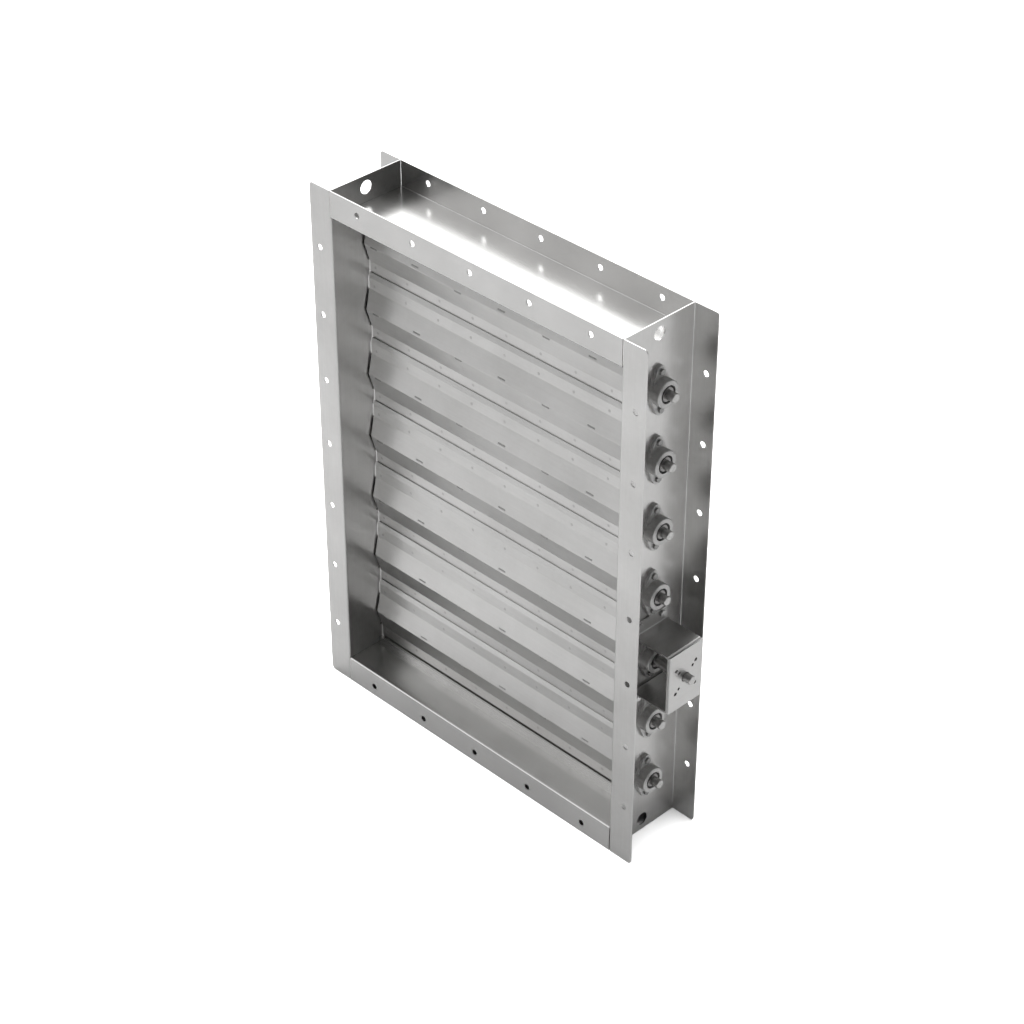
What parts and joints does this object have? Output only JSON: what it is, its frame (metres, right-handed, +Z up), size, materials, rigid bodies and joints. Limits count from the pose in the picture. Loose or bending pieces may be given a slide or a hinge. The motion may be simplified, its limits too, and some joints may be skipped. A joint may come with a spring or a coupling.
{
  "type": "rectangular multi-blade damper",
  "caption": "Flanged rectangular duct damper with double-skin parallel blades on flange bearings, an external link bar and a bracket for an actuator.",
  "frame": {"origin": "centre of the duct opening on the front flange face", "axes": "+X across the duct to the drive side, +Y along the air flow from the front face to the rear face, +Z up"},
  "size_m": [0.799, 0.158, 1],
  "materials": {
    "casing_sheet": "galvanised, satin",
    "blade_sheet": "galvanised, satin",
    "bracket_sheet": "galvanised, satin",
    "bearing_iron": "cast, machined face",
    "ring_steel": "ground",
    "shaft_steel": "turned",
    "screw_steel": "zinc plated",
    "link_steel": "zinc plated",
    "seal_rubber": "matt"
  },
  "bodies": {
    "casing": {"left_side_channel": "casing_sheet", "right_side_channel": "casing_sheet", "top_channel": "casing_sheet", "bottom_channel": "casing_sheet", "top_blade_stop": "casing_sheet", "bottom_blade_stop": "casing_sheet", "right_bearing_housings": "bearing_iron", "left_bearing_housings": "bearing_iron", "bearing_bolts": "screw_steel", "actuator_bracket": "bracket_sheet", "actuator_plate": "bracket_sheet", "bracket_screws": "screw_steel"},
    "blade_1": {"blade_1_front_skin": "blade_sheet", "blade_1_rear_skin": "blade_sheet", "blade_1_seal": "seal_rubber", "blade_1_shaft": "shaft_steel", "blade_1_bearing_rings": "ring_steel", "blade_1_crank_arm": "link_steel"},
    "blade_2": {"blade_2_front_skin": "blade_sheet", "blade_2_rear_skin": "blade_sheet", "blade_2_seal": "seal_rubber", "blade_2_shaft": "shaft_steel", "blade_2_bearing_rings": "ring_steel", "blade_2_crank_arm": "link_steel"},
    "blade_3": {"blade_3_front_skin": "blade_sheet", "blade_3_rear_skin": "blade_sheet", "blade_3_seal": "seal_rubber", "blade_3_shaft": "shaft_steel", "blade_3_bearing_rings": "ring_steel", "blade_3_crank_arm": "link_steel"},
    "blade_4": {"blade_4_front_skin": "blade_sheet", "blade_4_rear_skin": "blade_sheet", "blade_4_seal": "seal_rubber", "blade_4_shaft": "shaft_steel", "blade_4_bearing_rings": "ring_steel", "blade_4_crank_arm": "link_steel"},
    "blade_5": {"blade_5_front_skin": "blade_sheet", "blade_5_rear_skin": "blade_sheet", "blade_5_seal": "seal_rubber", "blade_5_shaft": "shaft_steel", "blade_5_bearing_rings": "ring_steel", "blade_5_crank_arm": "link_steel", "drive_spindle": "shaft_steel", "cross_pin": "screw_steel"},
    "blade_6": {"blade_6_front_skin": "blade_sheet", "blade_6_rear_skin": "blade_sheet", "blade_6_seal": "seal_rubber", "blade_6_shaft": "shaft_steel", "blade_6_bearing_rings": "ring_steel", "blade_6_crank_arm": "link_steel"},
    "blade_7": {"blade_7_front_skin": "blade_sheet", "blade_7_rear_skin": "blade_sheet", "blade_7_seal": "seal_rubber", "blade_7_shaft": "shaft_steel", "blade_7_bearing_rings": "ring_steel", "blade_7_crank_arm": "link_steel"},
    "linkage": {"link_bar": "link_steel", "link_pins": "screw_steel", "link_clips": "screw_steel"}
  },
  "joints": [
    {"name": "drive_blade_pivot", "type": "hinge", "parent": "casing", "child": "blade_5", "pos_m": [0, 0.079, -0.1265], "axis": [1, 0, 0], "range_deg": [0, 90]},
    {"name": "blade_1_pivot", "type": "hinge", "parent": "casing", "child": "blade_1", "pos_m": [0, 0.079, 0.3795], "axis": [1, 0, 0], "range_deg": [0, 90]},
    {"name": "blade_2_pivot", "type": "hinge", "parent": "casing", "child": "blade_2", "pos_m": [0, 0.079, 0.253], "axis": [1, 0, 0], "range_deg": [0, 90]},
    {"name": "blade_3_pivot", "type": "hinge", "parent": "casing", "child": "blade_3", "pos_m": [0, 0.079, 0.1265], "axis": [1, 0, 0], "range_deg": [0, 90]},
    {"name": "blade_4_pivot", "type": "hinge", "parent": "casing", "child": "blade_4", "pos_m": [0, 0.079, 0], "axis": [1, 0, 0], "range_deg": [0, 90]},
    {"name": "blade_6_pivot", "type": "hinge", "parent": "casing", "child": "blade_6", "pos_m": [0, 0.079, -0.253], "axis": [1, 0, 0], "range_deg": [0, 90]},
    {"name": "blade_7_pivot", "type": "hinge", "parent": "casing", "child": "blade_7", "pos_m": [0, 0.079, -0.3795], "axis": [1, 0, 0], "range_deg": [0, 90]},
    {"name": "link_bar_pivot", "type": "hinge", "parent": "blade_5", "child": "linkage", "pos_m": [-0.3609, 0.11435, -0.16185], "axis": [1, 0, 0], "range_deg": [-90, 0]}
  ],
  "couplings": [
    {"joint": "blade_1_pivot", "follows": "drive_blade_pivot", "ratio": 1},
    {"joint": "blade_2_pivot", "follows": "drive_blade_pivot", "ratio": 1},
    {"joint": "blade_3_pivot", "follows": "drive_blade_pivot", "ratio": 1},
    {"joint": "blade_4_pivot", "follows": "drive_blade_pivot", "ratio": 1},
    {"joint": "blade_6_pivot", "follows": "drive_blade_pivot", "ratio": 1},
    {"joint": "blade_7_pivot", "follows": "drive_blade_pivot", "ratio": 1},
    {"joint": "link_bar_pivot", "follows": "drive_blade_pivot", "ratio": -1}
  ]
}
